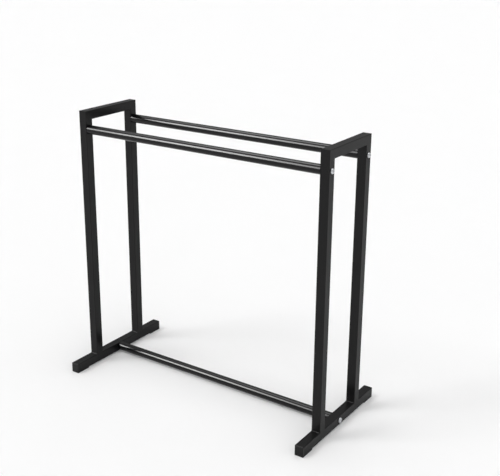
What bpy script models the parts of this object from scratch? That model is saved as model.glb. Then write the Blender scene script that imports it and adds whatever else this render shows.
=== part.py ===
"""Racket rack: two welded end frames of square tube, held apart by three bolted round rails.

Metres throughout. X runs along the rails, the front faces -Y, and Z is up from the floor.
The origin is on the floor, under the middle of the rack.
"""

from math import cos, pi, radians, sin, sqrt, tan

import bmesh
import bpy
from mathutils import Matrix, Vector

# Overall sizes
LENGTH = 0.800  # over the outer faces of the two end frames
HEIGHT = 0.776  # from the floor to the top of the end frames
FRAME_DEPTH = 0.213  # over the front and rear uprights
FOOT_LENGTH = 0.380  # over the caps of a foot bar
RAIL_DROP = 0.053  # from the top of the end frames down to the axis of the upper rails

# Square tube of the end frames
TUBE = 0.0254
TUBE_WALL = 0.0012
TUBE_CORNER = 0.0015

# Round tube of the rails
RAIL_DIAMETER = 0.0254
RAIL_WALL = 0.0015

# Threaded plug fixed in each rail end
PLUG_LENGTH = 0.018
PLUG_CHAMFER = 0.001
PLUG_GROOVE_WIDTH = 0.004
PLUG_GROOVE_DEPTH = 0.001

# Button head socket screw
SCREW_DIAMETER = 0.008
SCREW_REACH = 0.0140  # into the plug, which makes the screw 40 mm long under its head
SCREW_TIP_CHAMFER = 0.001
SCREW_HOLE_PLAY = 0.0005  # between the screw and the holes in the square tube
HEAD_DIAMETER = 0.014
HEAD_HEIGHT = 0.0044
HEAD_LAND = 0.0006  # upright edge round the foot of the crown
HEAD_FLAT = 0.0066  # flat top round the socket
SOCKET_WIDTH = 0.005  # across flats
SOCKET_DEPTH = 0.0028
SOCKET_LEAD = 0.0003  # how far the countersink at the mouth clears the hexagon's corners
SOCKET_LEAD_ANGLE = radians(120)

# Moulded cap in each foot bar end
CAP_FLANGE = 0.003
CAP_EDGE = 0.0009  # rounding of the flange's outer rim
CAP_INSERT_LENGTH = 0.012
CAP_INSERT_WALL = 0.0015
CAP_RIB_COUNT = 3
CAP_RIB_HEIGHT = 0.0006

# Moulded pad under each foot bar end
PAD_THICKNESS = 0.003
PAD_LENGTH = 0.046
PAD_CORNER = 0.0015
PAD_CHAMFER = 0.0006
STUD_DIAMETER = 0.007
STUD_SPACE = 0.008  # from the end of the cap's insert to the stud's axis
BARB_RISE = 0.0012  # how far the barb stands out past the stud
BARB_LIP = 0.0008
BARB_HEIGHT = 0.0045

# Clearance between pieces that seat on or in each other
SEAT = 0.0003

# Steps round curved forms
CORNER_STEPS = 4
CAP_EDGE_STEPS = 2
RAIL_STEPS = 48
TURNED_STEPS = 24
CROWN_STEPS = 6
SHARP_ANGLE = radians(30)  # an edge that turns more than this stays sharp in shading
MERGE = 0.000005
CUT_MARGIN = 0.020  # how far a cutter runs past what it cuts

# Places worked out from the sizes above
FRAME_X = (LENGTH - TUBE) / 2
UPRIGHT_Y = (FRAME_DEPTH - TUBE) / 2
FOOT_Z = PAD_THICKNESS + SEAT + TUBE / 2
UPRIGHT_BASE = FOOT_Z + TUBE / 2 + SEAT
TOP_BAR_Z = HEIGHT - TUBE / 2
UPPER_RAIL_Z = HEIGHT - RAIL_DROP
RAIL_END_X = LENGTH / 2 - TUBE - SEAT
FOOT_TUBE_LENGTH = FOOT_LENGTH - 2 * (CAP_FLANGE + SEAT)
STUD_Y = FOOT_LENGTH / 2 - CAP_FLANGE - CAP_INSERT_LENGTH - STUD_SPACE
SIDES = {"left": -1, "right": 1}
DEPTHS = {"front": -1, "rear": 1}
RAIL_AXES = {
    "front_top": (-UPRIGHT_Y, UPPER_RAIL_Z),
    "rear_top": (UPRIGHT_Y, UPPER_RAIL_Z),
    "bottom": (0.0, FOOT_Z),
}


def clear_scene():
    for obj in list(bpy.data.objects):
        bpy.data.objects.remove(obj)


def new_collection(name):
    collection = bpy.data.collections.new(name)
    bpy.context.scene.collection.children.link(collection)
    return collection


def new_material(name, colour, roughness, metallic):
    material = bpy.data.materials.new(name)
    material.use_nodes = True
    material.diffuse_color = (*colour, 1.0)
    shader = material.node_tree.nodes["Principled BSDF"]
    shader.inputs["Base Color"].default_value = (*colour, 1.0)
    shader.inputs["Roughness"].default_value = roughness
    shader.inputs["Metallic"].default_value = metallic
    return material


def new_empty(name, location, collection):
    empty = bpy.data.objects.new(name, None)
    empty.location = location
    collection.objects.link(empty)
    return empty


def new_part(name, mesh, material, parent=None, turn=None, location=(0, 0, 0)):
    """A named sub-part, placed by its location and rotation under its parent."""
    part = bpy.data.objects.new(name, mesh)
    part.location = location
    if turn is not None:
        part.rotation_euler = turn.to_euler()
    part.parent = parent
    if not mesh.materials:
        mesh.materials.append(material)
    rack.objects.link(part)
    return part


def new_mesh(name, bm):
    mesh = bpy.data.meshes.new(name)
    bm.to_mesh(mesh)
    bm.free()
    return mesh


def smooth(mesh):
    mesh.shade_smooth()
    mesh.set_sharp_from_angle(angle=SHARP_ANGLE)


def new_cutter(name, bm):
    """A helper that only shapes other pieces."""
    cutter = bpy.data.objects.new(name, new_mesh(name, bm))
    cutter.hide_render = True
    cutter.display_type = "WIRE"
    cutters.objects.link(cutter)
    return cutter


def combine(part, other, operation="DIFFERENCE"):
    boolean = part.modifiers.new(other.name, "BOOLEAN")
    boolean.operation = operation
    boolean.solver = "EXACT"
    boolean.object = other


def baked_mesh(name, helper):
    """The mesh that a helper's modifiers give, for several parts to share."""
    graph = bpy.context.evaluated_depsgraph_get()
    mesh = bpy.data.meshes.new_from_object(helper.evaluated_get(graph))
    mesh.name = name
    smooth(mesh)
    return mesh


def cylinder_cutter(name, diameter, length, turn, centre, steps=TURNED_STEPS):
    bm = bmesh.new()
    bmesh.ops.create_cone(
        bm, cap_ends=True, segments=steps, radius1=diameter / 2, radius2=diameter / 2, depth=length
    )
    cutter = new_cutter(name, bm)
    cutter.matrix_world = Matrix.Translation(centre) @ turn
    return cutter


def turned_helper(name, profile, closed):
    """A solid turned about Z. The (radius, height) profile runs down its outer side."""
    bm = bmesh.new()
    points = [bm.verts.new((radius, 0, height)) for radius, height in profile]
    following = points[1:] + points[:1] if closed else points[1:]
    for start, end in zip(points, following):
        bm.edges.new((start, end))
    helper = new_cutter(name, bm)
    screw = helper.modifiers.new("turn", "SCREW")
    screw.steps = TURNED_STEPS
    screw.render_steps = TURNED_STEPS
    screw.use_merge_vertices = True
    screw.merge_threshold = MERGE
    return helper


def rounded_block(width, depth, height, corner, steps):
    """A block that stands on z = 0, with its upright edges rounded."""
    bm = bmesh.new()
    bmesh.ops.create_cube(bm, size=1)
    bmesh.ops.scale(bm, vec=(width, depth, height), verts=bm.verts)
    bmesh.ops.translate(bm, vec=(0, 0, height / 2), verts=bm.verts)
    upright = [edge for edge in bm.edges if edge.verts[0].co.xy == edge.verts[1].co.xy]
    bmesh.ops.bevel(
        bm, geom=upright, offset=corner, segments=steps, profile=0.5, affect="EDGES"
    )
    return bm


def height_of(face):
    return face.calc_center_median().z


def add_wall(tube, thickness):
    """Gives an open skin its wall, inwards."""
    wall = tube.modifiers.new("wall", "SOLIDIFY")
    wall.thickness = thickness
    wall.offset = -1
    wall.use_even_offset = True


def square_tube(name, length, parent, turn, location):
    """A square tube with round corners and open ends, standing on its own z = 0."""
    bm = rounded_block(TUBE, TUBE, length, TUBE_CORNER, CORNER_STEPS)
    ends = [min(bm.faces, key=height_of), max(bm.faces, key=height_of)]
    bmesh.ops.delete(bm, geom=ends, context="FACES")
    mesh = new_mesh(name, bm)
    smooth(mesh)
    tube = new_part(name, mesh, powder_coat, parent, turn, location)
    add_wall(tube, TUBE_WALL)
    return tube


def mitre_cutter(name, depth_sign, cut_sign):
    """A long block that ends one tube of a top corner half a seat short of the mitre."""
    block = TUBE + 2 * CUT_MARGIN
    bm = bmesh.new()
    bmesh.ops.create_cube(bm, size=1)
    bmesh.ops.scale(bm, vec=(LENGTH + 2 * CUT_MARGIN, 2 * block, block), verts=bm.verts)
    cutter = new_cutter(name, bm)
    turn = Matrix.Rotation(depth_sign * radians(45), 4, "X")
    corner = Vector((0, depth_sign * UPRIGHT_Y, TOP_BAR_Z))
    offset = turn @ Vector((0, 0, cut_sign * (block - SEAT) / 2))
    cutter.matrix_world = Matrix.Translation(corner + offset) @ turn
    return cutter


def mitre_cutters():
    """For each top corner, one block that cuts the uprights and one that cuts the top bars."""
    found = {}
    for depth, sign in DEPTHS.items():
        found[f"{depth}_upright"] = mitre_cutter(f"{depth}_upright_mitre", sign, 1)
        found[f"{depth}_top_bar"] = mitre_cutter(f"{depth}_top_bar_mitre", sign, -1)
    return found


def screw_hole_cutters():
    """One long drill on each rail's axis, through both end frames."""
    hole = SCREW_DIAMETER + 2 * SCREW_HOLE_PLAY
    drill_length = LENGTH + 2 * CUT_MARGIN
    turn = Matrix.Rotation(radians(90), 4, "Y")
    return {
        rail: cylinder_cutter(f"{rail}_screw_hole", hole, drill_length, turn, (0, y, z))
        for rail, (y, z) in RAIL_AXES.items()
    }


def stud_hole_cutter(side, depth):
    """The drill for a pad's stud, from under the foot bar up into its hollow."""
    hole = STUD_DIAMETER + 2 * SEAT
    underside = (SIDES[side] * FRAME_X, DEPTHS[depth] * STUD_Y, FOOT_Z - TUBE / 2)
    return cylinder_cutter(f"{side}_{depth}_stud_hole", hole, TUBE, Matrix(), underside)


def end_frame(side, drills, mitres):
    """Foot bar, two uprights and a top bar, mitred at the top and welded."""
    frame = new_empty(f"{side}_end_frame", (SIDES[side] * FRAME_X, 0, 0), rack)
    along_y = Matrix.Rotation(radians(-90), 4, "X")
    front_end = (0, -FOOT_TUBE_LENGTH / 2, FOOT_Z)
    foot_bar = square_tube(f"{side}_foot_bar", FOOT_TUBE_LENGTH, frame, along_y, front_end)
    combine(foot_bar, drills["bottom"])
    front_end = (0, -FRAME_DEPTH / 2, TOP_BAR_Z)
    top_bar = square_tube(f"{side}_top_bar", FRAME_DEPTH, frame, along_y, front_end)
    for depth, sign in DEPTHS.items():
        base = (0, sign * UPRIGHT_Y, UPRIGHT_BASE)
        name = f"{side}_{depth}_upright"
        upright = square_tube(name, HEIGHT - UPRIGHT_BASE, frame, Matrix(), base)
        combine(upright, mitres[f"{depth}_upright"])
        combine(upright, drills[f"{depth}_top"])
        combine(top_bar, mitres[f"{depth}_top_bar"])
        combine(foot_bar, stud_hole_cutter(side, depth))


def rail_mesh():
    """The open skin of a round tube along Z, centred on the origin."""
    radius = RAIL_DIAMETER / 2
    bm = bmesh.new()
    bmesh.ops.create_cone(
        bm,
        cap_ends=False,
        segments=RAIL_STEPS,
        radius1=radius,
        radius2=radius,
        depth=2 * RAIL_END_X,
    )
    mesh = new_mesh("rail", bm)
    smooth(mesh)
    return mesh


def rails():
    """Two upper rails between the uprights, and one lower rail between the foot bars."""
    mesh = rail_mesh()
    turn = Matrix.Rotation(radians(90), 4, "Y")
    for rail, (y, z) in RAIL_AXES.items():
        part = new_part(f"{rail}_rail", mesh, gloss_enamel, None, turn, (0, y, z))
        add_wall(part, RAIL_WALL)


def plug_mesh():
    """A turned steel plug with a tapped bore and a crimping groove, its outer end on z = 0."""
    outer = RAIL_DIAMETER / 2 - RAIL_WALL - SEAT
    bore = SCREW_DIAMETER / 2 + SEAT
    groove_top = -(PLUG_LENGTH - PLUG_GROOVE_WIDTH) / 2
    groove_floor = groove_top - PLUG_GROOVE_WIDTH
    profile = [
        (bore, 0),
        (outer, 0),
        (outer, groove_top),
        (outer - PLUG_GROOVE_DEPTH, groove_top - PLUG_GROOVE_DEPTH),
        (outer - PLUG_GROOVE_DEPTH, groove_floor + PLUG_GROOVE_DEPTH),
        (outer, groove_floor),
        (outer, PLUG_CHAMFER - PLUG_LENGTH),
        (outer - PLUG_CHAMFER, -PLUG_LENGTH),
        (bore, -PLUG_LENGTH),
    ]
    return baked_mesh("threaded_plug", turned_helper("plug_helper", profile, closed=True))


def crown_profile():
    """The domed side of a button head, from its flat top down to its upright edge."""
    reach = (HEAD_DIAMETER - HEAD_FLAT) / 2
    rise = HEAD_HEIGHT - HEAD_LAND
    angles = [pi / 2 * step / CROWN_STEPS for step in range(CROWN_STEPS + 1)]
    return [(HEAD_FLAT / 2 + reach * sin(a), HEAD_LAND + rise * cos(a)) for a in angles]


def socket_cutters():
    """The hexagon socket, and the countersink at its mouth."""
    across_corners = SOCKET_WIDTH * 2 / sqrt(3)
    length = SOCKET_DEPTH + CUT_MARGIN
    middle = (0, 0, HEAD_HEIGHT - SOCKET_DEPTH + length / 2)
    hexagon = cylinder_cutter("socket_hexagon", across_corners, length, Matrix(), middle, steps=6)
    # A cone has half its base radius at its middle, which lies in the head's flat top.
    base = 2 * (across_corners / 2 + SOCKET_LEAD)
    bm = bmesh.new()
    bmesh.ops.create_cone(
        bm,
        cap_ends=True,
        segments=TURNED_STEPS,
        radius1=0,
        radius2=base,
        depth=base / tan(SOCKET_LEAD_ANGLE / 2),
    )
    lead = new_cutter("socket_lead", bm)
    lead.location.z = HEAD_HEIGHT
    return hexagon, lead


def screw_mesh():
    """A button head socket screw with its head up and its seat on z = 0."""
    shank = SCREW_DIAMETER / 2
    length = TUBE + 2 * SEAT + SCREW_REACH
    profile = [
        (0, HEAD_HEIGHT),
        *crown_profile(),
        (HEAD_DIAMETER / 2, 0),
        (shank, 0),
        (shank, SCREW_TIP_CHAMFER - length),
        (shank - SCREW_TIP_CHAMFER, -length),
        (0, -length),
    ]
    helper = turned_helper("screw_helper", profile, closed=False)
    for cutter in socket_cutters():
        combine(helper, cutter)
    return baked_mesh("button_screw", helper)


def rail_fixings():
    """A plug in each rail end, and a screw through the frame into it."""
    plug = plug_mesh()
    screw = screw_mesh()
    for rail, (y, z) in RAIL_AXES.items():
        for side, sign in SIDES.items():
            outward = Matrix.Rotation(sign * radians(90), 4, "Y")
            seat = (sign * RAIL_END_X, y, z)
            new_part(f"{rail}_{side}_threaded_plug", plug, bare_steel, None, outward, seat)
            seat = (sign * (LENGTH / 2 + SEAT), y, z)
            new_part(f"{rail}_{side}_button_screw", screw, zinc_plate, None, outward, seat)


def extrude_to(bm, face, height, half):
    """Extrudes a level square face to a new height and half width. It returns the new face."""
    made = bmesh.ops.extrude_face_region(bm, geom=[face])["geom"]
    bmesh.ops.delete(bm, geom=[face], context="FACES_ONLY")
    new = next(item for item in made if isinstance(item, bmesh.types.BMFace))
    now = max(vert.co.x for vert in new.verts)
    for vert in new.verts:
        vert.co.x *= half / now
        vert.co.y *= half / now
        vert.co.z = height
    return new


def cap_mesh():
    """A moulded cap with its outer face up on z = 0, over a hollow insert with barbed ribs."""
    bm = rounded_block(TUBE, TUBE, CAP_FLANGE, TUBE_CORNER, CORNER_STEPS)
    bmesh.ops.translate(bm, vec=(0, 0, -CAP_FLANGE), verts=bm.verts)
    rim = list(max(bm.faces, key=height_of).edges)
    bmesh.ops.bevel(
        bm, geom=rim, offset=CAP_EDGE, segments=CAP_EDGE_STEPS, profile=0.5, affect="EDGES"
    )
    rib = TUBE / 2 - TUBE_WALL - SEAT
    core = rib - CAP_RIB_HEIGHT
    pitch = CAP_INSERT_LENGTH / (CAP_RIB_COUNT + 1)
    sections = [(0, core)]
    for number in range(1, CAP_RIB_COUNT + 1):
        lip = number * pitch
        sections += [(lip, core), (lip, rib), (lip + pitch / 2, core)]
    sections += [(CAP_INSERT_LENGTH, core), (CAP_INSERT_LENGTH, core - CAP_INSERT_WALL)]
    sections += [(0, core - CAP_INSERT_WALL)]
    face = min(bm.faces, key=height_of)
    for depth, half in sections:
        face = extrude_to(bm, face, -CAP_FLANGE - depth, half)
    mesh = new_mesh("foot_cap", bm)
    smooth(mesh)
    return mesh


def stud_helper():
    """The barbed stud that snaps into the foot bar, rooted inside the pad."""
    shank = STUD_DIAMETER / 2
    lip = PAD_THICKNESS + SEAT + TUBE_WALL + SEAT
    tip = lip + BARB_HEIGHT
    profile = [
        (0, tip),
        (shank - BARB_RISE, tip),
        (shank + BARB_RISE, lip + BARB_LIP),
        (shank + BARB_RISE, lip),
        (shank, lip),
        (shank, PAD_THICKNESS / 2),
        (0, PAD_THICKNESS / 2),
    ]
    return turned_helper("stud_helper", profile, closed=False)


def pad_mesh():
    """A foot pad with its underside on z = 0, and its stud on the origin's axis.

    Local +Y points to the end of the foot bar, with which the pad ends flush.
    """
    bm = rounded_block(TUBE, PAD_LENGTH, PAD_THICKNESS, PAD_CORNER, CORNER_STEPS)
    middle = FOOT_LENGTH / 2 - PAD_LENGTH / 2 - STUD_Y
    bmesh.ops.translate(bm, vec=(0, middle, 0), verts=bm.verts)
    rim = list(min(bm.faces, key=height_of).edges)
    bmesh.ops.bevel(bm, geom=rim, offset=PAD_CHAMFER, segments=1, affect="EDGES")
    helper = new_cutter("pad_helper", bm)
    combine(helper, stud_helper(), "UNION")
    return baked_mesh("foot_pad", helper)


def foot_fittings():
    """A cap in each end of each foot bar, and a pad under each end."""
    cap = cap_mesh()
    pad = pad_mesh()
    for side, side_sign in SIDES.items():
        for depth, sign in DEPTHS.items():
            outward = Matrix.Rotation(-sign * radians(90), 4, "X")
            end = (side_sign * FRAME_X, sign * FOOT_LENGTH / 2, FOOT_Z)
            new_part(f"{side}_{depth}_foot_cap", cap, cap_plastic, None, outward, end)
            turn = Matrix.Rotation(radians(90) * (1 - sign), 4, "Z")
            stud = (side_sign * FRAME_X, sign * STUD_Y, 0)
            new_part(f"{side}_{depth}_foot_pad", pad, pad_rubber, None, turn, stud)


clear_scene()
rack = new_collection("racket_rack")
cutters = new_collection("cutters")
powder_coat = new_material("satin_black_powder_coat", (0.022, 0.022, 0.023), 0.5, 0.0)
gloss_enamel = new_material("gloss_black_enamel", (0.020, 0.020, 0.021), 0.25, 0.0)
bare_steel = new_material("bare_steel", (0.45, 0.45, 0.46), 0.35, 1.0)
zinc_plate = new_material("bright_zinc_plate", (0.72, 0.73, 0.75), 0.28, 1.0)
cap_plastic = new_material("black_cap_plastic", (0.022, 0.022, 0.023), 0.55, 0.0)
pad_rubber = new_material("black_pad_rubber", (0.014, 0.014, 0.014), 0.8, 0.0)

screw_drills = screw_hole_cutters()
top_mitres = mitre_cutters()
for frame_side in SIDES:
    end_frame(frame_side, screw_drills, top_mitres)
rails()
rail_fixings()
foot_fittings()
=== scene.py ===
"""The looks of the racket rack: coated end frames, enamelled rails and the fixings between them."""

from math import cos, pi, radians, sin, sqrt

import bmesh
import bpy
from mathutils import Matrix, Vector


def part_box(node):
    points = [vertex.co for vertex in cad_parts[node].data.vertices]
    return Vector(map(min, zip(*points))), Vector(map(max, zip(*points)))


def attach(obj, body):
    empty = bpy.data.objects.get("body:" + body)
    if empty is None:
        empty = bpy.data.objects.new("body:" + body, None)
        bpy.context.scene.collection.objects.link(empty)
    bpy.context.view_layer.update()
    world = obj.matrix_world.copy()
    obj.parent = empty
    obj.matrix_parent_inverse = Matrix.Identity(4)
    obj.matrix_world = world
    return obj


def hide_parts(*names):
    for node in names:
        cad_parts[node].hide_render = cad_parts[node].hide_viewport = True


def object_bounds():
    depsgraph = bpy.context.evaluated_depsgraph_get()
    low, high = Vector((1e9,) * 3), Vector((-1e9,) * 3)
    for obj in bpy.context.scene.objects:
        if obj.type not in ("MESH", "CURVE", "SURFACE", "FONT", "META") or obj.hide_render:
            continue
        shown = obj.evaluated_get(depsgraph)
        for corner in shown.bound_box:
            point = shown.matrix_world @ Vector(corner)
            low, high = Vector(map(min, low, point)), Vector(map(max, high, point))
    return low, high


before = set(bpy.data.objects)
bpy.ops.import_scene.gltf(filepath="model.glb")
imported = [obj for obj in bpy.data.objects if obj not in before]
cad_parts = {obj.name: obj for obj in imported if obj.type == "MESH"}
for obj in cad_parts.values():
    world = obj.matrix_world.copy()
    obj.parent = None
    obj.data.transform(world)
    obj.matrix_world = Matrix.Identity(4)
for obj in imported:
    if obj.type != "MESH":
        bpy.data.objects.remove(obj)        # bodies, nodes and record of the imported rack
cad_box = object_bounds()

# Camera: it stands in front of the right end frame, a little above the rack's top, with a short
# telephoto lens. The shift is what the crop of the picture leaves.
PICTURE_WIDTH, PICTURE_HEIGHT = 500, 476  # in pixels, as the next two lines are
FOCAL_LENGTH = 906.37
PICTURE_CENTRE_X, PICTURE_CENTRE_Y = 227.30, 216.30
SENSOR_WIDTH = 36  # millimetres
CAMERA_PLACE = (1.3834, -1.9102, 1.2808)
CAMERA_TURN = radians(35.2518)
CAMERA_DIP = radians(18.0622)

camera = bpy.data.objects.new("camera", bpy.data.cameras.new("camera"))
camera.location = CAMERA_PLACE
camera.rotation_euler = (radians(90) - CAMERA_DIP, 0, CAMERA_TURN)
camera.data.sensor_width = SENSOR_WIDTH
camera.data.lens = FOCAL_LENGTH * SENSOR_WIDTH / PICTURE_WIDTH
camera.data.shift_x = (PICTURE_WIDTH / 2 - PICTURE_CENTRE_X) / PICTURE_WIDTH
camera.data.shift_y = (PICTURE_CENTRE_Y - PICTURE_HEIGHT / 2) / PICTURE_WIDTH
bpy.context.scene.collection.objects.link(camera)
bpy.context.scene.camera = camera
bpy.context.scene.view_settings.view_transform = "Standard"

# Studio floor: a sheet of white matt board, so wide that its far edge is the horizon. It isn't
# part of the rack.
FLOOR_RADIUS = 60.0
FLOOR_SIDES = 128
BOARD_MOTTLE = 0.25
BOARD_WHITES = (0.945, 0.945, 0.945), (0.955, 0.955, 0.955)


class Wire:
    """A socket in a finish. Sums on it add Math nodes, and node() adds any other kind."""

    def __init__(self, tree, socket):
        self.tree = tree
        self.socket = socket

    def node(self, kind, settings, sockets, output=0):
        made = self.tree.nodes.new("ShaderNode" + kind)
        for name, value in settings.items():
            setattr(made, name, value)
        for name, value in sockets.items():
            if isinstance(value, Wire):
                self.tree.links.new(value.socket, made.inputs[name])
            else:
                made.inputs[name].default_value = value
        return Wire(self.tree, made.outputs[output])

    def __add__(self, other):
        return self.node("Math", {"operation": "ADD"}, {0: self, 1: other})

    def __mul__(self, other):
        return self.node("Math", {"operation": "MULTIPLY"}, {0: self, 1: other})

    __radd__ = __add__
    __rmul__ = __mul__

    def colour(self, at_0, at_1):
        """A colour that goes from one to another as this socket goes from 0 to 1."""
        colours = {0: self, 6: (*at_0, 1), 7: (*at_1, 1)}
        return self.node("Mix", {"data_type": "RGBA"}, colours, output=2)

    def bump(self, strength, distance):
        """The normals of a surface that this socket raises by up to a distance."""
        return self.node("Bump", {}, {"Strength": strength, "Distance": distance, "Height": self})


def new_finish(name, constants):
    """A material with what is the same all over it on its shader's own sockets.

    It returns the material, a Wire of the Object coordinates, and a function that feeds a socket.
    """
    material = bpy.data.materials.new(name)
    material.use_nodes = True
    tree = material.node_tree
    shader = tree.nodes["Principled BSDF"]
    for socket, value in constants.items():
        shader.inputs[socket].default_value = value

    def feed(socket, wire):
        tree.links.new(wire.socket, shader.inputs[socket])

    places = Wire(tree, tree.nodes.new("ShaderNodeTexCoord").outputs["Object"])
    return material, places, feed


def noise(places, size, detail=2.0):
    """Smooth noise from 0 to 1 whose features are about a size across."""
    return places.node("TexNoise", {}, {"Vector": places, "Scale": 1 / size, "Detail": detail})


board, places, feed = new_finish("white_board", {"Roughness": 0.9, "Specular IOR Level": 0.0})
feed("Base Color", noise(places, BOARD_MOTTLE).colour(*BOARD_WHITES))

bpy.ops.object.select_all(action="DESELECT")
bpy.ops.mesh.primitive_circle_add(vertices=FLOOR_SIDES, radius=FLOOR_RADIUS, fill_type="NGON")
floor = bpy.context.object
floor.name = "studio_floor"
floor.data.materials.append(board)

# Studio light: a bright softbox on the left in front and a dimmer one overhead, both brightest
# in their middle, between white walls that darken towards the floor. Each softbox has one lamp
# for its shade and others for its gloss. The walls' low light shades the floor round the feet.
WALLS = 12
WALL_LIGHT_RISE = 0.16
WALL_GLOW_LOW, WALL_GLOW_HIGH = 0.24, 0.605
WALL_TOP = 0.62  # the sine of the elevation from which the glow is at its highest


def even_light(name, direction, spread, power):
    """Soft light that is as strong all over the floor. It shows in no gloss."""
    light = bpy.data.lights.new(name, "SUN")
    light.angle = radians(spread)
    light.energy = power
    lamp = bpy.data.objects.new(name, light)
    lamp.rotation_euler = Vector(direction).to_track_quat("Z", "Y").to_euler()
    lamp.visible_glossy = False
    bpy.context.scene.collection.objects.link(lamp)


def gloss_light(name, place, tilt, width, height, brightness):
    """A softbox as it shows in gloss, and nowhere else. Its long side runs with the rails."""
    light = bpy.data.lights.new(name, "AREA")
    light.shape = "RECTANGLE"
    light.size = width
    light.size_y = height
    light.energy = brightness * pi * width * height
    lamp = bpy.data.objects.new(name, light)
    lamp.location = place
    lamp.rotation_euler = (radians(tilt), 0, 0)
    lamp.visible_diffuse = False
    lamp.visible_camera = False
    bpy.context.scene.collection.objects.link(lamp)


even_light("key_shade", (-0.55, -0.60, 1.08), spread=18, power=0.73)
gloss_light("key_edge", (-4.0, -4.58, 3.56), tilt=56, width=3.6, height=3.2, brightness=15)
gloss_light("key_sides", (-3.9, -4.50, 3.45), tilt=56, width=2.0, height=2.7, brightness=11)
gloss_light("key_middle", (-3.8, -4.42, 3.38), tilt=56, width=1.2, height=2.4, brightness=10)
even_light("overhead_shade", (0.25, -0.25, 1.0), spread=36, power=0.31)
gloss_light("overhead_edge", (-0.7, 0.35, 3.5), tilt=0, width=4.0, height=2.0, brightness=3.0)
gloss_light("overhead_middle", (-0.4, 0.45, 3.4), tilt=0, width=3.0, height=1.3, brightness=3.8)
for number in range(WALLS):
    turn = 2 * pi * number / WALLS
    direction = (cos(turn), sin(turn), WALL_LIGHT_RISE)
    even_light(f"wall_shade_{number}", direction, spread=20, power=0.34)

world = bpy.data.worlds.new("white_walls")
bpy.context.scene.world = world
world.use_nodes = True
tree = world.node_tree
background = tree.nodes["Background"]
background.inputs["Color"].default_value = (1, 1, 1, 1)
skyward = Wire(tree, tree.nodes.new("ShaderNodeTexCoord").outputs["Generated"])
upward = skyward.node("SeparateXYZ", {}, {"Vector": skyward}, output=2)
glow_range = {"From Max": WALL_TOP, "To Min": WALL_GLOW_LOW, "To Max": WALL_GLOW_HIGH}
glow = upward.node("MapRange", {}, {"Value": upward, **glow_range})
tree.links.new(glow.socket, background.inputs["Strength"])

# End frames: each side is a foot bar, two uprights and a top bar of 25.4 mm square steel tube,
# sawn, mitred at the top, drilled for the screws and studs, welded, and powder-coated satin
# black. The powder melts to a thin clear skin over a duller black ground.
TUBE = 0.0254
TUBE_WALL = 0.0012
TUBE_CORNER = 0.0015
CORNER_STEPS = 8
SCREW_HOLE = 0.009
SCREW_DRILL = 0.05  # goes through both walls
STUD_HOLE = 0.0076
STUD_DRILL = 0.03  # its upper half goes through the lower wall only
HOLE_SIDES = 32
STRAIGHT = 0.99  # the least cosine of what counts as straight along an axis
TOUCHING = 0.000001
SMOOTH_UNDER = radians(30)
POWDER_GRAIN = 0.0011
POWDER_CLOUD = 0.06
POWDER_BLACKS = (0.0028, 0.0028, 0.0029), (0.0052, 0.0052, 0.0053)

powder_coat, places, feed = new_finish(
    "satin_black_powder_coat", {"Specular IOR Level": 0.025, "Coat Roughness": 0.2}
)
grain = noise(places, POWDER_GRAIN)
cloud = noise(places, POWDER_CLOUD)
feed("Base Color", (grain * 0.6 + cloud * 0.4).colour(*POWDER_BLACKS))
feed("Roughness", grain * 0.08 + cloud * 0.06 + 0.38)
feed("Coat Weight", grain * 0.14 + cloud * 0.06 + 0.23)
feed("Normal", grain.bump(strength=0.5, distance=0.00005))


def placed(name):
    """Names the new primitive, and takes its place, turn and size into its mesh."""
    piece = bpy.context.object
    piece.name = name
    bpy.ops.object.transform_apply(location=True, rotation=True, scale=True)
    return piece


def new_block(name, low, high):
    """A block between two corners, ready to shape."""
    bpy.ops.object.select_all(action="DESELECT")
    low, high = Vector(low), Vector(high)
    bpy.ops.mesh.primitive_cube_add(size=1, location=(low + high) / 2, scale=high - low)
    return placed(name)


def new_rod(name, centre, axis, diameter, length, sides, ends="NGON"):
    """A round rod along X, Y or Z, ready to shape."""
    bpy.ops.object.select_all(action="DESELECT")
    turn = {"X": (0, radians(90), 0), "Y": (radians(90), 0, 0), "Z": (0, 0, 0)}[axis]
    bpy.ops.mesh.primitive_cylinder_add(
        vertices=sides,
        radius=diameter / 2,
        depth=length,
        end_fill_type=ends,
        location=centre,
        rotation=turn,
    )
    return placed(name)


def pick(piece, kind, test):
    """Leaves only the faces, edges or points that pass the test selected, in edit mode."""
    bpy.ops.mesh.select_mode(type=kind)
    bpy.ops.mesh.select_all(action="DESELECT")
    shape = bmesh.from_edit_mesh(piece.data)
    for item in {"FACE": shape.faces, "EDGE": shape.edges, "VERT": shape.verts}[kind]:
        if test(item):
            item.select_set(True)
    shape.select_flush_mode()
    bmesh.update_edit_mesh(piece.data)


def round_long_edges(piece, axis, corner, steps):
    """Rounds the edges of a block that run along an axis."""
    along = "XYZ".index(axis)

    def runs_along(edge):
        way = edge.verts[1].co - edge.verts[0].co
        return abs(way[along]) > STRAIGHT * way.length

    pick(piece, "EDGE", runs_along)
    bpy.ops.mesh.bevel(offset=corner, segments=steps)


def open_ends(piece, axis):
    """Takes away the faces at both ends of an axis."""
    along = "XYZ".index(axis)
    pick(piece, "FACE", lambda face: abs(face.normal[along]) > STRAIGHT)
    bpy.ops.mesh.delete(type="FACE")


def apply_modifier(piece, kind, settings):
    """Puts a modifier on a piece and applies it."""
    bpy.context.view_layer.objects.active = piece
    modifier = piece.modifiers.new(kind.title(), kind)
    for name, value in settings.items():
        setattr(modifier, name, value)
    bpy.ops.object.modifier_apply(modifier=modifier.name)


def thicken(skin, thickness, even=True):
    """Gives a skin its wall, inwards."""
    settings = {"thickness": thickness, "offset": -1, "use_even_offset": even}
    apply_modifier(skin, "SOLIDIFY", settings)


def cut(piece, tool, operation="DIFFERENCE"):
    """Takes a tool's shape out of a piece, or adds it, and puts the tool away."""
    apply_modifier(piece, "BOOLEAN", {"operation": operation, "object": tool})
    bpy.data.objects.remove(tool)


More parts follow.
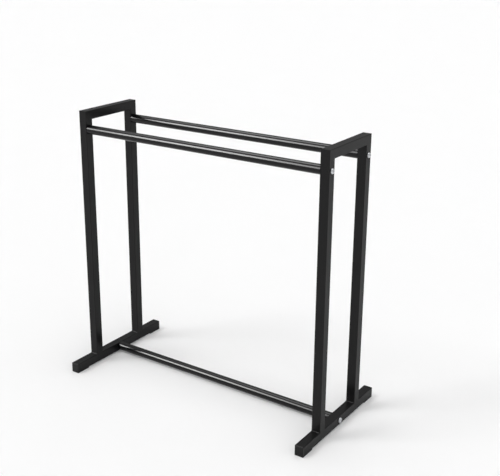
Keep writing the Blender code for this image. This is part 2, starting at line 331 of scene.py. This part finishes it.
def saw(piece, point, normal):
    """Saws a piece through and drops what lies on the normal's side."""
    bpy.context.view_layer.objects.active = piece
    bpy.ops.object.mode_set(mode="EDIT")
    bpy.ops.mesh.select_all(action="SELECT")
    bpy.ops.mesh.bisect(plane_co=point, plane_no=normal, use_fill=True, clear_outer=True)
    bpy.ops.object.mode_set(mode="OBJECT")


def square_tube(name, low, high, axis):
    """A square tube with round corners and open ends."""
    tube = new_block(name, low, high)
    bpy.ops.object.mode_set(mode="EDIT")
    round_long_edges(tube, axis, TUBE_CORNER, CORNER_STEPS)
    open_ends(tube, axis)
    bpy.ops.object.mode_set(mode="OBJECT")
    thicken(tube, TUBE_WALL)
    return tube


def copied(piece, name, place):
    """A copy with its own mesh, put in its place."""
    copy = piece.copy()
    copy.data = piece.data.copy()
    copy.name = name
    bpy.context.scene.collection.objects.link(copy)
    copy.data.transform(place)
    return copy


def finish(piece, material, slot, *nodes):
    """Smooths a piece, gives it its material, and has it ride on the rack in its nodes' place."""
    bpy.ops.object.select_all(action="DESELECT")
    piece.select_set(True)
    bpy.context.view_layer.objects.active = piece
    bpy.ops.object.shade_smooth_by_angle(angle=SMOOTH_UNDER)
    apply_modifier(piece, "WEIGHTED_NORMAL", {"keep_sharp": True})
    piece.data.materials.clear()
    piece.data.materials.append(material)
    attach(piece, "root")
    if nodes:
        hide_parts(*nodes)


rack_top = cad_box[1].z
frame_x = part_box("right_front_upright")[0].x + TUBE / 2
upright_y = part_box("right_rear_upright")[0].y + TUBE / 2
foot_low, foot_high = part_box("right_foot_bar")
foot_z = (foot_low.z + foot_high.z) / 2
rail_low, rail_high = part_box("front_top_rail")
upper_rail_z = (rail_low.z + rail_high.z) / 2
pad_low, pad_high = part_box("right_rear_foot_pad")
stud_y = (pad_low.y + pad_high.y) / 2
corner = Vector((frame_x, upright_y, rack_top - TUBE / 2))

upright = square_tube(
    "upright",
    (frame_x - TUBE / 2, upright_y - TUBE / 2, foot_high.z),
    (frame_x + TUBE / 2, upright_y + TUBE / 2, rack_top),
    "Z",
)
saw(upright, corner, (0, -1, 1))
screw_drill = new_rod(
    "drill", (frame_x, upright_y, upper_rail_z), "X", SCREW_HOLE, SCREW_DRILL, HOLE_SIDES
)
cut(upright, screw_drill)

top_bar = square_tube(
    "top_bar",
    (frame_x - TUBE / 2, -upright_y - TUBE / 2, rack_top - TUBE),
    (frame_x + TUBE / 2, upright_y + TUBE / 2, rack_top),
    "Y",
)
saw(top_bar, corner, (0, 1, -1))
saw(top_bar, (frame_x, -corner.y, corner.z), (0, -1, -1))

foot_bar = square_tube("foot_bar", foot_low, foot_high, "Y")
cut(foot_bar, new_rod("drill", (frame_x, 0, foot_z), "X", SCREW_HOLE, SCREW_DRILL, HOLE_SIDES))
for y in (-stud_y, stud_y):
    cut(foot_bar, new_rod("drill", (frame_x, y, 0), "Z", STUD_HOLE, STUD_DRILL, HOLE_SIDES))

half_turn = Matrix.Rotation(radians(180), 4, "Z")
to_left = Matrix.Translation((-2 * frame_x, 0, 0))
upright_places = {
    "right_rear": Matrix(),
    "right_front": to_left.inverted() @ half_turn,
    "left_front": half_turn,
    "left_rear": to_left,
}
for corner_name, place in upright_places.items():
    node = f"{corner_name}_upright"
    finish(copied(upright, f"{node}_tube", place), powder_coat, "frame_coat", node)
for side, place in (("right", Matrix()), ("left", to_left)):
    for tube, node in ((top_bar, f"{side}_top_bar"), (foot_bar, f"{side}_foot_bar")):
        finish(copied(tube, f"{node}_tube", place), powder_coat, "frame_coat", node)
for pattern in (upright, top_bar, foot_bar):
    bpy.data.objects.remove(pattern)

# Corner welds: each mitre is welded all round and ground almost flush. That leaves a low band of
# metal a little over two millimetres wide, which takes the same coat as the tubes.
WELD_HALF_WIDTH = 0.0012
WELD_CROWN = 0.00012
WELD_SUNK = 0.00002
WELD_DEPTH = 0.0008
WELD_STEPS = 3
UNTRIMMED = 0.03  # how far each half runs along its tube before it is trimmed


def weld_half(axis, far_side, near_side):
    """The part of a corner weld that lies on one tube, as an open skin between two planes."""
    half = TUBE / 2 - WELD_SUNK
    reach = Vector((half, half, half))
    reach["XYZ".index(axis)] = UNTRIMMED
    skin = new_block("weld_half", corner - reach, corner + reach)
    bpy.ops.object.mode_set(mode="EDIT")
    round_long_edges(skin, axis, TUBE_CORNER, CORNER_STEPS)
    open_ends(skin, axis)
    for point, normal in (far_side, near_side):
        bpy.ops.mesh.select_all(action="SELECT")
        bpy.ops.mesh.bisect(plane_co=point, plane_no=normal, clear_outer=True)
    bpy.ops.object.mode_set(mode="OBJECT")
    return skin


def on_mitre(vert):
    """Whether a point lies in the plane of the mitre."""
    offset = vert.co - corner
    return abs(offset.z - offset.y) < TOUCHING


below_mitre = Vector((0, 1, -1)).normalized()
edge_of_weld = below_mitre * WELD_HALF_WIDTH
corner_weld = weld_half("Z", (corner, -below_mitre), (corner + edge_of_weld, below_mitre))
bar_half = weld_half("Y", (corner, below_mitre), (corner - edge_of_weld, -below_mitre))
bar_half.select_set(True)
corner_weld.select_set(True)
bpy.context.view_layer.objects.active = corner_weld
bpy.ops.object.join()
bpy.ops.object.mode_set(mode="EDIT")
bpy.ops.mesh.select_all(action="SELECT")
bpy.ops.mesh.remove_doubles(threshold=TOUCHING)
bpy.ops.mesh.normals_make_consistent(inside=False)
pick(corner_weld, "VERT", on_mitre)
crown = 1 + (WELD_CROWN + WELD_SUNK) / (TUBE / 2)
bpy.ops.transform.resize(value=(crown, crown, crown), center_override=corner)
pick(corner_weld, "EDGE", lambda edge: all(on_mitre(vert) for vert in edge.verts))
bpy.ops.mesh.bevel(offset=WELD_HALF_WIDTH / 3, segments=WELD_STEPS)
bpy.ops.object.mode_set(mode="OBJECT")
thicken(corner_weld, WELD_DEPTH)
for corner_name, place in upright_places.items():
    finish(copied(corner_weld, f"{corner_name}_corner_weld", place), powder_coat, "frame_coat")
bpy.data.objects.remove(corner_weld)

# Foot welds: each upright stands on its foot bar in a weld that runs all round it. In front and
# behind it is a rippled fillet. On the outer and inner faces it fills the bar's round edge, and
# is ground flush with both tubes.
FILLET_LEG = 0.0012
FILLET_STEPS = 4
FILLET_FULLNESS = 1.3  # 1 would be a full quarter round, and 2 a flat slope
RIPPLE_PITCH = 0.0013
RIPPLE_SWELL = 1.007
RIPPLE_CLEAR = 0.0001
GROUND_PROUD = 0.00005
FLARE_DEPTH = 0.0021
WELD_CORE = Vector((0.0095, 0.0095, 0.02))

foot_centre = Vector((frame_x, upright_y, foot_high.z))
half_base = Vector((TUBE / 2 + GROUND_PROUD, TUBE / 2 + FILLET_LEG, 0))
flare = Vector((0, 0, FLARE_DEPTH))
foot_weld = new_block("foot_weld", foot_centre - half_base - flare, foot_centre + half_base)
bpy.ops.object.mode_set(mode="EDIT")
round_long_edges(foot_weld, "Z", TUBE_CORNER, CORNER_STEPS)
pick(foot_weld, "FACE", lambda face: face.normal.z > STRAIGHT)
height_now, reach_now = 0, TUBE / 2 + FILLET_LEG
for step in range(1, FILLET_STEPS + 1):
    angle = radians(90) * step / FILLET_STEPS
    height = FILLET_LEG * sin(angle) ** FILLET_FULLNESS
    reach = TUBE / 2 + FILLET_LEG * cos(angle) ** FILLET_FULLNESS - WELD_SUNK
    rise = {"value": (0, 0, height - height_now)}
    bpy.ops.mesh.extrude_region_move(TRANSFORM_OT_translate=rise)
    bpy.ops.transform.resize(value=(1, reach / reach_now, 1), center_override=foot_centre)
    height_now, reach_now = height, reach
half_ripples = 2 * int(TUBE / 2 / RIPPLE_PITCH)
for number in range(-half_ripples, half_ripples + 1):
    bpy.ops.mesh.select_all(action="SELECT")
    place = foot_centre + Vector((number * RIPPLE_PITCH / 2, 0, 0))
    bpy.ops.mesh.bisect(plane_co=place, plane_no=(1, 0, 0))


def on_ripple(vert):
    """Whether a point is on the crown of a ripple of the front or rear fillet."""
    offset = vert.co - foot_centre
    from_crown = abs(offset.x - round(offset.x / RIPPLE_PITCH) * RIPPLE_PITCH)
    on_fillet = offset.z > RIPPLE_CLEAR and abs(offset.y) > TUBE / 2 + RIPPLE_CLEAR
    return from_crown < TOUCHING and on_fillet


pick(foot_weld, "VERT", on_ripple)
bpy.ops.transform.resize(value=(1, RIPPLE_SWELL, 1), center_override=foot_centre)
bpy.ops.object.mode_set(mode="OBJECT")
cut(foot_weld, new_block("core", foot_centre - WELD_CORE, foot_centre + WELD_CORE))
for corner_name, place in upright_places.items():
    finish(copied(foot_weld, f"{corner_name}_foot_weld", place), powder_coat, "frame_coat")
bpy.data.objects.remove(foot_weld)

# Rails: round steel tube of 25.4 mm, sawn square, deburred and enamelled gloss black. The enamel
# is smooth, with only a faint long ripple.
RAIL_WALL = 0.0015
RAIL_SIDES = 96
RAIL_SEAT = 0.00005
DEBURR = 0.0003
DEBURR_STEPS = 2
END_CLEAR = 0.00005
ENAMEL_BLACK = (0.003, 0.003, 0.0032, 1)
ENAMEL_RIPPLE = 0.004
ENAMEL_CLOUD = 0.05

enamel, places, feed = new_finish(
    "gloss_black_enamel", {"Base Color": ENAMEL_BLACK, "Specular IOR Level": 0.215}
)
feed("Roughness", noise(places, ENAMEL_CLOUD) * 0.06 + 0.16)
feed("Normal", noise(places, ENAMEL_RIPPLE).bump(strength=0.25, distance=0.00005))

rail_end = frame_x - TUBE / 2 - RAIL_SEAT
rail_axes = {}
for name in ("front_top", "rear_top", "bottom"):
    rail_low, rail_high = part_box(f"{name}_rail")
    rail_axes[name] = (rail_low + rail_high) / 2
diameter = rail_high.z - rail_low.z


def on_end_rim(edge):
    """Whether an edge lies on the outer or the inner rim of the rail's end."""
    start, end = (vert.co for vert in edge.verts)
    at_end = abs(start.x + end.x) / 2 > rail_end - END_CLEAR
    return at_end and abs(start.yz.length - end.yz.length) < TOUCHING


rail = new_rod("rail", (0, 0, 0), "X", diameter, 2 * rail_end, RAIL_SIDES, ends="NOTHING")
thicken(rail, RAIL_WALL, even=False)
bpy.ops.object.mode_set(mode="EDIT")
pick(rail, "EDGE", on_end_rim)
bpy.ops.mesh.bevel(offset=DEBURR, segments=DEBURR_STEPS)
bpy.ops.object.mode_set(mode="OBJECT")
for name, axis in rail_axes.items():
    fitted = copied(rail, f"{name}_rail_tube", Matrix.Translation(axis))
    finish(fitted, enamel, "rail_enamel", f"{name}_rail")
bpy.data.objects.remove(rail)

# Threaded plugs: turned from round steel bar, left bare, and crimped into the rail ends. They
# keep their CAD shape, and show fine lathe lines.
SIDES = {"left": -1, "right": 1}
LATHE_LINE = 0.001131
WAVE_REPEAT = 2 * pi / 20  # of Blender's wave texture at a scale of 1
STEEL_STAIN = 0.006
STEEL_GREYS = (0.38, 0.38, 0.39), (0.50, 0.50, 0.51)

turned_steel, places, feed = new_finish("turned_bare_steel", {"Metallic": 1.0})
waves = {"Scale": WAVE_REPEAT / LATHE_LINE, "Distortion": 0.3, "Detail": 1.0}
lines = places.node("TexWave", {"bands_direction": "X"}, {"Vector": places, **waves}, output=1)
stain = noise(places, STEEL_STAIN)
feed("Base Color", stain.colour(*STEEL_GREYS))
feed("Roughness", lines * 0.12 + stain * 0.1 + 0.24)
feed("Normal", lines.bump(strength=0.4, distance=0.00002))

for name in rail_axes:
    for side in SIDES:
        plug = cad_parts[f"{name}_{side}_threaded_plug"]
        plug.data.materials.clear()
        plug.data.materials.append(turned_steel)

# Screws: M8 button head socket screws, 40 mm long, cold-headed with rolled threads and bright
# zinc plated. One goes through each end frame into the plug of each rail end.
SCREW_DIAMETER = 0.008
SCREW_LENGTH = 0.040
SCREW_SIDES = 48
SCREW_TURNS = {"front_top": 14, "rear_top": 37, "bottom": 51}
THREAD_PITCH = 0.00125
THREAD_DEPTH = 0.00068
THREAD_CREST, THREAD_ROOT = 0.125, 0.25  # how much of the pitch is flat
RINGS_PER_PITCH = 10
PLAIN_NECK = 0.0025
NECK_FILLET = 0.0003
TIP_CHAMFER = 0.001
HEAD_DIAMETER = 0.014
HEAD_HEIGHT = 0.0047
HEAD_LAND = 0.0008
HEAD_FLAT = 0.0066
HEAD_EDGE = 0.0002
HEAD_STEPS = 12
SOCKET_WIDTH = 0.005
SOCKET_DEPTH = 0.0028
SOCKET_BAR = 0.01
MOUTH_DEPTH = 0.002
MOUTH_CUTTER_TOP = 0.0006
MOUTH_CUTTER_RADIUS = 0.0041
DRILL_POINT = 0.0012
DRILL_RADIUS = 0.0023
DRILL_OVERLAP = 0.0001
ZINC_MOTTLE = 0.0012
ZINC_RINGS = 0.00016
ZINC_GREYS = (0.60, 0.61, 0.63), (0.70, 0.71, 0.73)

zinc, places, feed = new_finish("bright_zinc_plate", {"Metallic": 1.0})
radius = places.node("Attribute", {"attribute_name": "from_axis"}, {}, output=2)
rings = radius.node("Math", {"operation": "SINE"}, {0: radius * (2 * pi / ZINC_RINGS)})
mottle = noise(places, ZINC_MOTTLE)
feed("Base Color", mottle.colour(*ZINC_GREYS))
feed("Roughness", mottle * 0.1 + 0.28)
feed("Normal", rings.bump(strength=0.25, distance=0.00001))


def turned(name, outline, sides):
    """A solid turned about Z. Its outline of (radius, height) runs from the axis to the axis."""
    bpy.ops.object.select_all(action="DESELECT")
    bpy.ops.mesh.primitive_plane_add(size=0.01)
    piece = placed(name)
    bpy.ops.object.mode_set(mode="EDIT")
    bpy.ops.mesh.select_mode(type="VERT")
    bpy.ops.mesh.select_all(action="SELECT")
    bpy.ops.mesh.merge(type="CENTER")
    start = Vector((outline[0][0], 0, outline[0][1]))
    bpy.ops.transform.translate(value=start)
    for point in outline[1:]:
        end = Vector((point[0], 0, point[1]))
        bpy.ops.mesh.extrude_region_move(TRANSFORM_OT_translate={"value": end - start})
        start = end
    bpy.ops.mesh.select_all(action="SELECT")
    bpy.ops.mesh.spin(steps=sides, angle=2 * pi, center=(0, 0, 0), axis=(0, 0, 1))
    bpy.ops.mesh.select_all(action="SELECT")
    bpy.ops.mesh.remove_doubles(threshold=TOUCHING)
    bpy.ops.mesh.normals_make_consistent(inside=False)
    bpy.ops.object.mode_set(mode="OBJECT")
    return piece


def crown_outline():
    """The domed side of the head, from its flat top down to its upright edge."""
    reach = (HEAD_DIAMETER - HEAD_FLAT) / 2
    rise = HEAD_HEIGHT - HEAD_LAND
    angles = [pi / 2 * step / HEAD_STEPS for step in range(HEAD_STEPS + 1)]
    return [(HEAD_FLAT / 2 + reach * sin(a), HEAD_LAND + rise * cos(a)) for a in angles]


def thread_depth(height, angle):
    """How deep the thread is cut: flat crests and roots, 60 degree flanks, and a run-out."""
    turn = (height / THREAD_PITCH - angle / (2 * pi)) % 1
    from_root = abs(turn - 0.5) * 2
    cut_depth = (1 - THREAD_CREST - from_root) / (1 - THREAD_CREST - THREAD_ROOT)
    run_out = (-height - PLAIN_NECK) / THREAD_PITCH
    return THREAD_DEPTH * min(1, max(0, cut_depth)) * min(1, max(0, run_out))


shank = SCREW_DIAMETER / 2
ring_step = THREAD_PITCH / RINGS_PER_PITCH
ring_count = int((SCREW_LENGTH - PLAIN_NECK) / ring_step)
screw_outline = [
    (0, HEAD_HEIGHT),
    *crown_outline(),
    (HEAD_DIAMETER / 2, HEAD_EDGE),
    (HEAD_DIAMETER / 2 - HEAD_EDGE, 0),
    (shank + NECK_FILLET, 0),
    (shank, -NECK_FILLET),
    *((shank, -PLAIN_NECK - ring_step * number) for number in range(ring_count)),
    (shank, -SCREW_LENGTH),
    (0, -SCREW_LENGTH),
]
screw = turned("screw", screw_outline, SCREW_SIDES)
for vert in screw.data.vertices:
    around = vert.co.xy.length
    if vert.co.z < -PLAIN_NECK and around > shank / 2:
        angle = Vector((1, 0)).angle_signed(vert.co.xy)
        thread = shank - thread_depth(vert.co.z, -angle)
        tip = shank - TIP_CHAMFER + (SCREW_LENGTH + vert.co.z)
        vert.co.xy *= min(thread, tip) / around

# The socket and its mouth are turned a little, so that their corners fall between the head's edges.
across_corners = SOCKET_WIDTH * 2 / sqrt(3)
socket_floor = HEAD_HEIGHT - SOCKET_DEPTH
bar_centre = (0, 0, socket_floor + SOCKET_BAR / 2)
hexagon = new_rod("hexagon", bar_centre, "Z", across_corners, SOCKET_BAR, 6)
hexagon.data.transform(Matrix.Rotation(pi / SCREW_SIDES / 2, 4, "Z"))
cut(screw, hexagon)
cutter_top = HEAD_HEIGHT + MOUTH_CUTTER_TOP
mouth_outline = [(0, HEAD_HEIGHT - MOUTH_DEPTH), (MOUTH_CUTTER_RADIUS, cutter_top), (0, cutter_top)]
mouth = turned("socket_mouth", mouth_outline, SCREW_SIDES)
mouth.data.transform(Matrix.Rotation(pi / SCREW_SIDES, 4, "Z"))
cut(screw, mouth)
drill_top = socket_floor + DRILL_OVERLAP
drill_outline = [(0, socket_floor - DRILL_POINT), (DRILL_RADIUS, drill_top), (0, drill_top)]
cut(screw, turned("drill_point", drill_outline, HOLE_SIDES))
from_axis = screw.data.attributes.new("from_axis", "FLOAT", "POINT")
for vert, value in zip(screw.data.vertices, from_axis.data):
    value.value = vert.co.xy.length

for name, axis in rail_axes.items():
    for side, sign in SIDES.items():
        seat = Matrix.Translation((sign * (frame_x + TUBE / 2), axis.y, axis.z))
        head_out = Matrix.Rotation(sign * radians(90), 4, "Y")
        tightened = Matrix.Rotation(radians(sign * SCREW_TURNS[name]), 4, "Z")
        fitted = copied(screw, f"{name}_{side}_zinc_screw", seat @ head_out @ tightened)
        finish(fitted, zinc, "screw_zinc", f"{name}_{side}_button_screw")
bpy.data.objects.remove(screw)

# Foot caps: black polyethylene plugs, moulded in one piece, with a flange that closes the foot
# bar's end and a hollow ribbed insert that is knocked into the tube.
DEPTHS = {"front": -1, "rear": 1}
CAP_FLANGE = 0.0033
CAP_RIM = 0.0014
CAP_RIM_STEPS = 6
CAP_INSERT = 0.012
CAP_INSERT_WALL = 0.0015
CAP_INSERT_TAPER = 0.0005
CAP_INSERT_LEAD = 0.0006
CAP_PLAY = 0.0003
CAP_RIBS = 3
CAP_RIB_HEIGHT = 0.0006
CAP_RIB_BACK = 0.0001
CAP_RIB_CREST = 0.0003
CAP_HOLLOW_FLOOR = 0.0005
CAP_HOLLOW_DRAFT = 0.0003
POLYETHYLENE_STIPPLE = 0.0006
POLYETHYLENE_BLACKS = (0.0025, 0.0025, 0.0026), (0.0050, 0.0050, 0.0051)

polyethylene, places, feed = new_finish("black_polyethylene", {"Specular IOR Level": 0.21})
stipple = noise(places, POLYETHYLENE_STIPPLE, detail=3)
feed("Base Color", stipple.colour(*POLYETHYLENE_BLACKS))
feed("Roughness", stipple * 0.12 + 0.22)
feed("Normal", stipple.bump(strength=0.5, distance=0.00004))

cap = new_block("cap", (-TUBE / 2, -TUBE / 2, -CAP_FLANGE), (TUBE / 2, TUBE / 2, 0))
bpy.ops.object.mode_set(mode="EDIT")
round_long_edges(cap, "Z", TUBE_CORNER, CORNER_STEPS)
pick(cap, "EDGE", lambda edge: all(vert.co.z > -TOUCHING for vert in edge.verts))
bpy.ops.mesh.bevel(offset=CAP_RIM, segments=CAP_RIM_STEPS)
pick(cap, "FACE", lambda face: face.normal.z < -STRAIGHT)
rib = TUBE / 2 - TUBE_WALL - CAP_PLAY
core = rib - CAP_RIB_HEIGHT
hollow = core - CAP_INSERT_WALL
pitch = CAP_INSERT / (CAP_RIBS + 1)
sections = [(0, core)]  # each a distance from the flange and half a width
for number in range(1, CAP_RIBS + 1):
    sections += [
        (number * pitch - CAP_RIB_BACK, core),
        (number * pitch, rib),
        (number * pitch + CAP_RIB_CREST, rib),
        (number * pitch + pitch / 2, core),
    ]
sections += [
    (CAP_INSERT - CAP_INSERT_LEAD, core),
    (CAP_INSERT, core - CAP_INSERT_TAPER),
    (CAP_INSERT, hollow),
    (CAP_HOLLOW_FLOOR, hollow - CAP_HOLLOW_DRAFT),
]
along_now, half_now = 0, TUBE / 2
for along, half in sections:
    drop = {"value": (0, 0, along_now - along)}
    bpy.ops.mesh.extrude_region_move(TRANSFORM_OT_translate=drop)
    narrow = half / half_now
    bpy.ops.transform.resize(value=(narrow, narrow, 1), center_override=(0, 0, 0))
    along_now, half_now = along, half
bpy.ops.object.mode_set(mode="OBJECT")

foot_end = cad_box[1].y
foot_ends = {
    f"{side}_{depth}": (x_sign, y_sign)
    for side, x_sign in SIDES.items()
    for depth, y_sign in DEPTHS.items()
}
for end_name, (x_sign, y_sign) in foot_ends.items():
    seat = Matrix.Translation((x_sign * frame_x, y_sign * foot_end, foot_z))
    facing_out = Matrix.Rotation(-y_sign * radians(90), 4, "X")
    fitted = copied(cap, f"{end_name}_moulded_cap", seat @ facing_out)
    finish(fitted, polyethylene, "cap_plastic", f"{end_name}_foot_cap")
bpy.data.objects.remove(cap)

# Foot pads: moulded black rubber, flush with the foot bar's sides and cap. The tread has cross
# grooves, and a barbed stud snaps up into the hole under the bar.
PAD_LENGTH = 0.046
PAD_CORNER = 0.0015
PAD_CORNER_STEPS = 6
PAD_CHAMFER = 0.0006
PAD_CHAMFER_STEPS = 3
PAD_EDGE = 0.0003
PAD_EDGE_STEPS = 2
GROOVE_COUNT = 9
GROOVE_WIDTH = 0.0016
GROOVE_DEPTH = 0.0007
GROOVE_CUTTER_LOW = -0.001
STUD_DIAMETER = 0.007
STUD_SIDES = 40
STUD_PLAY = 0.0003
BARB_HEIGHT = 0.0045
BARB_REACH = 0.0012
BARB_LAND = 0.0008
BARB_EDGE = 0.0001
BARB_NOSE_WIDTH = 0.0004
BARB_NOSE_HEIGHT = 0.0003
RUBBER_DUST = 0.0008
RUBBER_BLACKS = (0.005, 0.005, 0.005), (0.011, 0.011, 0.011)

rubber, places, feed = new_finish("black_rubber", {"Specular IOR Level": 0.3})
dust = noise(places, RUBBER_DUST, detail=3)
feed("Base Color", dust.colour(*RUBBER_BLACKS))
feed("Roughness", dust * 0.15 + 0.7)
feed("Normal", dust.bump(strength=0.6, distance=0.00005))

pad_top = foot_low.z
pad_front = foot_end - PAD_LENGTH
pad = new_block("pad", (-TUBE / 2, pad_front, 0), (TUBE / 2, foot_end, pad_top))
bpy.ops.object.mode_set(mode="EDIT")
round_long_edges(pad, "Z", PAD_CORNER, PAD_CORNER_STEPS)
pick(pad, "EDGE", lambda edge: all(vert.co.z < TOUCHING for vert in edge.verts))
bpy.ops.mesh.bevel(offset=PAD_CHAMFER, segments=PAD_CHAMFER_STEPS)
pick(pad, "EDGE", lambda edge: all(vert.co.z > pad_top - TOUCHING for vert in edge.verts))
bpy.ops.mesh.bevel(offset=PAD_EDGE, segments=PAD_EDGE_STEPS)
bpy.ops.object.mode_set(mode="OBJECT")
groove_pitch = PAD_LENGTH / (GROOVE_COUNT + 1)
for number in range(1, GROOVE_COUNT + 1):
    middle = pad_front + number * groove_pitch
    groove = new_block(
        "groove",
        (-TUBE, middle - GROOVE_WIDTH / 2, GROOVE_CUTTER_LOW),
        (TUBE, middle + GROOVE_WIDTH / 2, GROOVE_DEPTH),
    )
    cut(pad, groove)

stud = STUD_DIAMETER / 2
barb = stud + BARB_REACH
nose = stud - BARB_REACH
lip = pad_top + TUBE_WALL + STUD_PLAY
stud_outline = [
    (0, lip + BARB_HEIGHT),
    (nose - BARB_NOSE_WIDTH, lip + BARB_HEIGHT),
    (nose, lip + BARB_HEIGHT - BARB_NOSE_HEIGHT),
    (barb, lip + BARB_LAND),
    (barb, lip + BARB_EDGE),
    (barb - BARB_EDGE, lip),
    (stud, lip),
    (stud, pad_top / 2),
    (0, pad_top / 2),
]
barbed_stud = turned("stud", stud_outline, STUD_SIDES)
barbed_stud.data.transform(Matrix.Translation((0, stud_y, 0)))
cut(pad, barbed_stud, "UNION")

for end_name, (x_sign, y_sign) in foot_ends.items():
    under_bar = Matrix.Translation((x_sign * frame_x, 0, 0))
    to_end = Matrix.Rotation(radians(90) * (1 - y_sign), 4, "Z")
    fitted = copied(pad, f"{end_name}_rubber_pad", under_bar @ to_end)
    finish(fitted, rubber, "pad_rubber", f"{end_name}_foot_pad")
bpy.data.objects.remove(pad)
